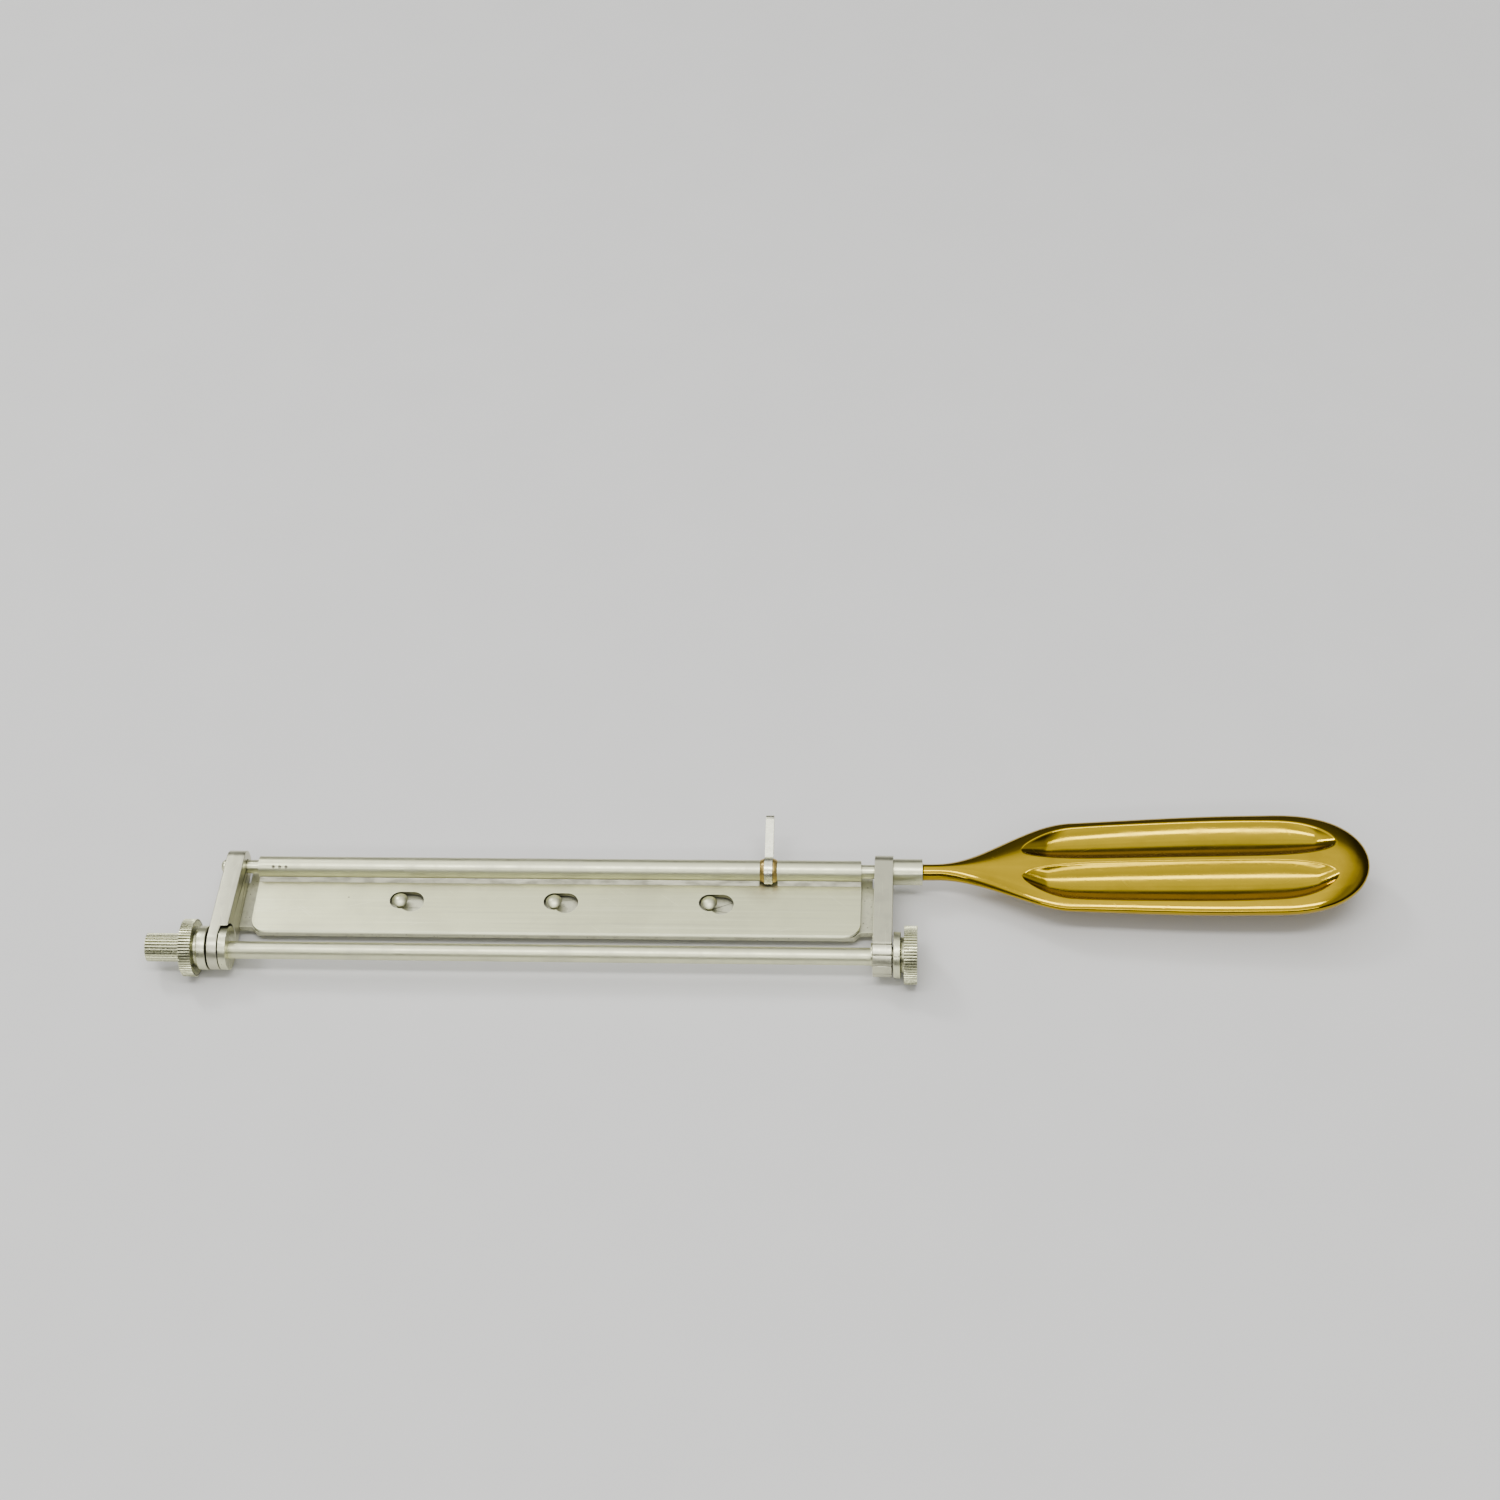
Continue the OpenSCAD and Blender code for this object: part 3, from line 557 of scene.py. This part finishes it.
# %% [markdown]
# The handle is one casting. Its section changes all the way: a round neck, a broad grip with two
# deep flutes that meet at a narrow crest, and a rounded tail. It could be modelled by hand under a
# Subdivision modifier, but a mirror polish shows every uneven loop. So the same formulas that drew
# the solid draw it here, only with far more stations, and the polish runs over it without a facet.

# %% The handle's sizes
HANDLE_LEN = 113.4
NECK_D = 4.3
HANDLE_W = 31.5
FACE_T = 2.8
BELLY_T = 5.5
NECK_RISE = 2.0
HANDLE_LIFT = 2.0
FLUTE_START = 25.4
FLUTE_END = 8.4
FLUTE_DEPTH = 3.1
BELLY_FLUTE = 1.2
FLUTE_ROUND = 6
RIB_W = 1.2
RIM_W = 2.4
RIM_END_W = 3.0
TAIL_LEN = 24.0
WIDEN_FROM = 3.3
WIDEN_TO = 38.3
WIDEN_SHARE = 0.85
THICKEN_FROM = 6
THICKEN_TO = 59
THICKEN_SHARE = 0.6
SLOW_FROM = 20
FULL_AT = 0.72 * HANDLE_LEN
RISE_TO = 32.6
SOFT_EDGE = 0.22
SINK = 0.06
print("handle", HANDLE_LEN, "mm long and", HANDLE_W, "mm wide")


# %% [markdown]
# `swell` is a slow start and a slow end between two stations. Width, thickness and the height of
# the middle line are each a sum of such swells, and the tail closes like the end of an ellipse.


# %% The handle's outline along its length
def eased(share):
    share = min(1.0, max(0.0, share))
    return share * share * (3 - 2 * share)


def swell(s, start, stop):
    return eased((s - start) / (stop - start))


def tail(s):
    return min(1.0, max(0.0, (s - HANDLE_LEN + TAIL_LEN) / TAIL_LEN))


def half_width(s):
    quick = WIDEN_SHARE * swell(s, WIDEN_FROM, WIDEN_TO)
    slow = (1 - WIDEN_SHARE) * swell(s, SLOW_FROM, FULL_AT)
    grown = quick + slow
    return (NECK_D + (HANDLE_W - NECK_D) * grown) / 2 * math.sqrt(1 - tail(s) ** 2.4)


def thickness(s, grown_t):
    quick = THICKEN_SHARE * swell(s, THICKEN_FROM, THICKEN_TO)
    slow = (1 - THICKEN_SHARE) * swell(s, SLOW_FROM, FULL_AT)
    grown = quick + slow
    return (NECK_D / 2 + (grown_t - NECK_D / 2) * grown) * math.sqrt(1 - tail(s) ** 4.5)


def middle(s):
    slope = math.tan(math.radians(HANDLE_LIFT))
    return NECK_RISE * swell(s, 0, RISE_TO) + slope * max(0.0, s - 9) * swell(s, 5, 20)


widest = max(half_width(s) for s in range(math.ceil(HANDLE_LEN)))
print("widest half width", round(widest, 2), "mm")

# %% [markdown]
# A section is half an ellipse above its widest line and a fuller curve below it. Each flute is a
# scoop taken out of that, with a round start and a round end. `softened` averages the carved
# surface over a short stretch, which rounds the flute's edges as a polishing mop does.

# %% The handle's section across its width
FLUTE_STOP = HANDLE_LEN - FLUTE_END
FLUTE_MID = (FLUTE_START + FLUTE_STOP) / 2
FLUTE_HALF = (FLUTE_STOP - FLUTE_START) / 2


def flute_plan(s):
    u = abs(s - FLUTE_MID) / FLUTE_HALF
    return 0.0 if u >= 1 else math.sqrt(1 - u**FLUTE_ROUND)


def face_height(s, y):
    u = min(1.0, abs(y) / max(half_width(s), 1e-6))
    return thickness(s, FACE_T) * math.sqrt(1 - u**2)


def belly_depth(s, y):
    power = 2 + 0.3 * swell(s, 10, 42)
    u = min(1.0, abs(y) / max(half_width(s), 1e-6))
    return thickness(s, BELLY_T) * (1 - u**power) ** (1 / power)


def flute_edges(s):
    rim = RIM_W + (RIM_END_W - RIM_W) * swell(s, 0.27 * HANDLE_LEN, 0.88 * HANDLE_LEN)
    inner = min(RIB_W / 2, 0.4 * half_width(s))
    outer = max(half_width(s) - rim, 0.7 * half_width(s))
    centre = (inner + outer) / 2
    open_share = max(0.1, flute_plan(s))
    return centre + (inner - centre) * open_share, centre + (outer - centre) * open_share


def scoop(s, y):
    inner, outer = flute_edges(s)
    k = (outer - abs(y)) / max(outer - inner, 1e-6)
    share = flute_plan(s) * min(1.0, (outer - inner) / 8)
    return 4 * k * (1 - k) * share if 0 < k < 1 else 0.0


def carved_face(s, y):
    return face_height(s, y) - FLUTE_DEPTH * scoop(s, y)


def carved_belly(s, y):
    return belly_depth(s, y) - BELLY_FLUTE * scoop(s, y)


def softened(carved, s, y):
    inner, outer = flute_edges(s)
    if flute_plan(s) <= 0 or abs(y) > outer + SOFT_EDGE or abs(y) < inner - SOFT_EDGE:
        return carved(s, y)
    steps = [-1, -0.5, 0, 0.5, 1]
    return sum(carved(s, y + SOFT_EDGE * step) for step in steps) / len(steps)


print("flutes run from", FLUTE_START, "to", round(FLUTE_STOP, 1), "mm")

# %% [markdown]
# One ring goes over the top from the back edge to the front edge and returns below. Evenly spaced
# points would cut the corners of the flutes, so they lie closest together at the flute edges, where
# the surface turns quickest. The stations crowd together at both ends of the flutes for the same
# reason.

# %% Stations and rings of the skin
SIDE_STEPS = 20
FLUTE_STEPS = 30
RIB_STEPS = 6


def half_ring(s):
    width = half_width(s)
    inner, outer = flute_edges(s)
    start = math.acos(min(1.0, outer / width))
    ys = [width * math.cos(start * i / SIDE_STEPS) for i in range(SIDE_STEPS)]
    for i in range(FLUTE_STEPS):
        ys.append(outer + (inner - outer) * (1 - math.cos(math.pi * i / FLUTE_STEPS)) / 2)
    for i in range(RIB_STEPS):
        ys.append(inner * math.cos(math.pi / 2 * i / RIB_STEPS))
    return ys


def ring(s):
    right = half_ring(s)
    ys = right + [0.0] + [-y for y in reversed(right)]
    top = [(y, softened(carved_face, s, y), scoop(s, y)) for y in ys]
    below = [(y, -softened(carved_belly, s, y), scoop(s, y)) for y in reversed(ys[1:-1])]
    return top + below


def stations():
    neck = [FLUTE_START * i / 60 for i in range(60)]
    count = 150
    grip = [FLUTE_MID - FLUTE_HALF * math.cos(math.pi * i / count) for i in range(count + 1)]
    tip = [FLUTE_STOP + FLUTE_END * math.sin(math.radians(a)) for a in range(4, 89, 4)]
    return neck + grip + tip


print("stations:", len(stations()), "points in a ring:", len(ring(60.0)))

# %% [markdown]
# `cast_handle` puts the rings in place and stitches neighbours together with four-sided faces. The
# last ring closes on one point. A small remapping keeps the tip inside the solid's own length, and
# `SINK` lowers the skin by a hair, because it is rounder than the solid and would stand above it.


# %% Cast the handle
def cast_handle(name):
    tip_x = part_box("handle")[1].x / MM - FERRULE_END - 0.01
    tail_squeeze = (tip_x - FLUTE_STOP) / FLUTE_END
    mesh = bpy.data.meshes.new(name)
    skin = bmesh.new()
    flute = skin.verts.layers.float.new("flute")
    rings = []
    for s in stations():
        x = s if s < FLUTE_STOP else FLUTE_STOP + (s - FLUTE_STOP) * tail_squeeze
        row = []
        for y, z, mark in ring(s):
            point = Vector((FERRULE_END + x, ROD_Y + y, ROD_Z + z + middle(s) - SINK)) * MM
            vertex = skin.verts.new(point)
            vertex[flute] = mark
            row.append(vertex)
        rings.append(row)
    for here, there in zip(rings, rings[1:]):
        for i in range(len(here)):
            j = (i + 1) % len(here)
            skin.faces.new((here[i], here[j], there[j], there[i]))
    tip = Vector((FERRULE_END + tip_x, ROD_Y, ROD_Z + middle(HANDLE_LEN) - SINK)) * MM
    tip_vertex = skin.verts.new(tip)
    for i in range(len(rings[-1])):
        j = (i + 1) % len(rings[-1])
        skin.faces.new((rings[-1][i], rings[-1][j], tip_vertex))
    skin.faces.new(list(reversed(rings[0])))
    bmesh.ops.recalc_face_normals(skin, faces=skin.faces)
    for face in skin.faces:
        face.smooth = True
    skin.to_mesh(mesh)
    skin.free()
    mesh.materials.append(mirror_brass)
    piece = bpy.data.objects.new(name, mesh)
    bpy.context.scene.collection.objects.link(piece)
    return piece


handle = cast_handle("brass_handle")
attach(handle, "frame")
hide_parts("handle")
print("handle points:", len(handle.data.vertices))

# %% [markdown]
# The knife lies on a plain pale table. The table is one wide matt sheet just under the lowest
# point of the knife, which is the rim of a lock nut. It is very wide, so that a low view shows
# little beyond its edge.

# %% Pale table
table = Finish("pale_table", (0.72, 0.715, 0.70), 0.7, metallic=0.0)
table.paint(table.noise(0.04, detail=3), (0.76, 0.755, 0.74))
pale_table = table.done()
sheet = bpy.data.meshes.new("table_top")
reach = 15.0
corners = [(-reach, -reach), (reach, -reach), (reach, reach), (-reach, reach)]
sheet.from_pydata([(x, y, FLOOR_Z * MM) for x, y in corners], [], [(0, 1, 2, 3)])
sheet.materials.append(pale_table)
table_top = bpy.data.objects.new("table_top", sheet)
bpy.context.scene.collection.objects.link(table_top)
print("table at z =", FLOOR_Z, "mm")

# %% [markdown]
# Polished metal shows its surroundings, so the room matters as much as the lamps. A photograph of a
# studio could be wrapped around the knife, but a few steps of grey are easier to steer. The room is
# a dome that is dim at the horizon and to the right, and brighter overhead. A large soft box hangs
# high behind the knife: flat faces mirror the dome just below it, and the crowned front of the
# cover mirrors the box itself. A long box overhead, a narrow one in front and a small one at the
# left draw the bright lines on brass and edges.

# %% Soft lights and a domed room
room = bpy.data.worlds.new("domed_room")
room.use_nodes = True
tree = room.node_tree
direction = tree.nodes.new("ShaderNodeTexCoord").outputs["Generated"]
split = tree.nodes.new("ShaderNodeSeparateXYZ")
tree.links.new(direction, split.inputs[0])
dome = tree.nodes.new("ShaderNodeValToRGB")
tree.links.new(split.outputs["Z"], dome.inputs[0])
HORIZON = 0.10
OVERHEAD = 1.9
DOME_STEPS = ((0.50, 0.16), (0.60, 0.30), (0.70, 1.3), (0.76, 1.65), (0.90, 1.3))
dome.color_ramp.elements[0].position = 0.0
dome.color_ramp.elements[0].color = (HORIZON, HORIZON, HORIZON, 1)
dome.color_ramp.elements[1].position = 1.0
dome.color_ramp.elements[1].color = (OVERHEAD, OVERHEAD, OVERHEAD, 1)
for height, grey in DOME_STEPS:
    step = dome.color_ramp.elements.new(height)
    step.color = (grey, grey, grey, 1)
tree.links.new(dome.outputs[0], tree.nodes["Background"].inputs["Color"])
dark_side = tree.nodes.new("ShaderNodeMapRange")
tree.links.new(split.outputs["X"], dark_side.inputs["Value"])
dark_side.inputs["From Min"].default_value = 0.20
dark_side.inputs["From Max"].default_value = 0.45
dark_side.inputs["To Min"].default_value = 1.0
dark_side.inputs["To Max"].default_value = 0.30
tree.links.new(dark_side.outputs[0], tree.nodes["Background"].inputs["Strength"])
bpy.context.scene.world = room


def soft_box(name, place, target, size, power):
    light = bpy.data.lights.new(name, "AREA")
    light.shape = "RECTANGLE"
    light.size, light.size_y = size
    light.energy = power
    lamp = bpy.data.objects.new(name, light)
    bpy.context.scene.collection.objects.link(lamp)
    lamp.location = place
    lamp.rotation_mode = "QUATERNION"
    lamp.rotation_quaternion = (Vector(target) - Vector(place)).to_track_quat("-Z", "Y")
    print("soft box", name, power, "W")
    return lamp


soft_box("back_box", (0.05, 0.50, 1.10), (0.05, 0, 0), (1.8, 0.50), 0.6)
soft_box("left_box", (-0.55, 0.55, 0.80), (0.1, 0, 0), (0.16, 0.24), 3.0)
soft_box("top_box", (0.05, -0.28, 1.20), (0.05, 0, 0), (1.1, 0.18), 8)
soft_box("front_box", (0.05, -0.90, 0.78), (0.05, 0, 0), (1.3, 0.12), 3)

# %% [markdown]
# The camera stands where the photographer stood: in front of the knife, a little to its left and
# about fifty degrees above the table. The numbers were fitted to corners of the frame, so that the
# picture lines up with the original.

# %% Camera at the photographer's place
AZIMUTH = math.radians(-6.28)
ELEVATION = math.radians(49.27)
ROLL = math.radians(-4.48)
DISTANCE = 715.0
AIM = Vector((48.0, ROD_Y + 41.3, ROD_Z))
FOCAL_LENGTH = 63.58
FRAME_WIDTH = 36
ahead = Vector(
    (
        math.sin(AZIMUTH) * math.cos(ELEVATION),
        math.cos(AZIMUTH) * math.cos(ELEVATION),
        -math.sin(ELEVATION),
    )
)
level_right = Vector((math.cos(AZIMUTH), -math.sin(AZIMUTH), 0))
level_up = level_right.cross(ahead)
right = math.cos(ROLL) * level_right + math.sin(ROLL) * level_up
up = -math.sin(ROLL) * level_right + math.cos(ROLL) * level_up
lens = bpy.data.cameras.new("photographer")
lens.sensor_width = FRAME_WIDTH
lens.lens = FOCAL_LENGTH
lens.clip_start = 0.01
lens.clip_end = 60
camera = bpy.data.objects.new("photographer", lens)
bpy.context.scene.collection.objects.link(camera)
turn = Matrix((right, up, -ahead)).transposed().to_4x4()
camera.matrix_world = Matrix.Translation((AIM - ahead * DISTANCE) * MM) @ turn
bpy.context.scene.camera = camera
print("camera at", [round(value, 3) for value in camera.location])
